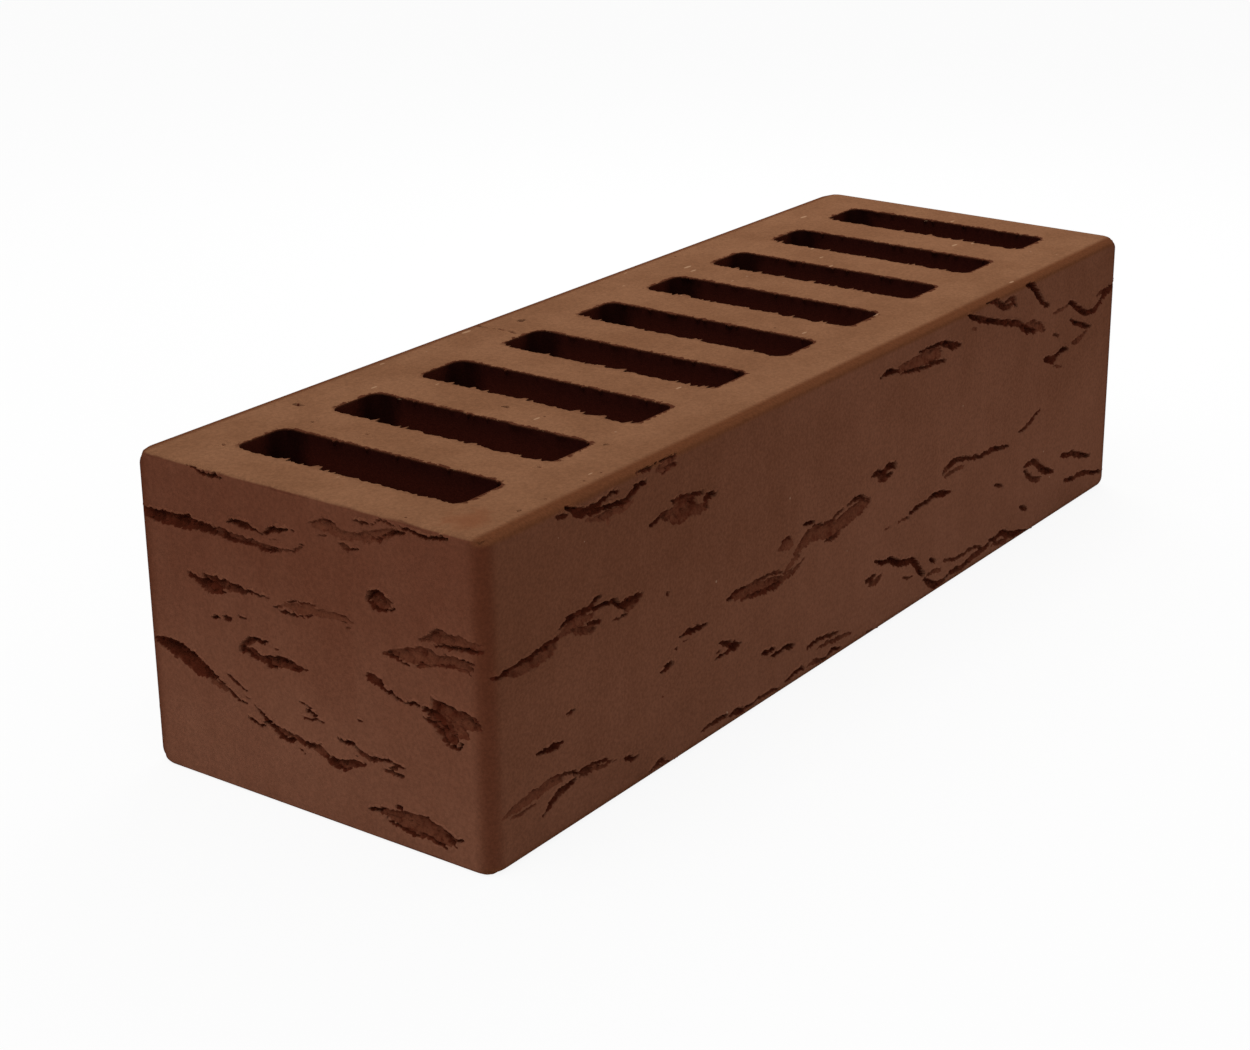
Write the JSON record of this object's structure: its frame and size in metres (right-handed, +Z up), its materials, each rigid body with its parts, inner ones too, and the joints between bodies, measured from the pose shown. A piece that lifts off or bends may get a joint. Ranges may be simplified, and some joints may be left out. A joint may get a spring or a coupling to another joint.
{
  "type": "clay brick",
  "caption": "Hollow fired-clay facing brick with a row of through slots, rounded upright corners, eased bed edges and bark-like torn faces, laid in mortar to build a wall.",
  "frame": {"origin": "centre of the lower bed", "axes": "+X along the stretcher, +Y across the header, +Z up through the slots"},
  "size_m": [0.25, 0.085, 0.065],
  "materials": {
    "fired_clay": "matt chocolate-brown fired clay, torn in bark-like marks on the faces, wire-cut on the beds"
  },
  "bodies": {
    "root": {"brick": "fired_clay"}
  },
  "joints": []
}
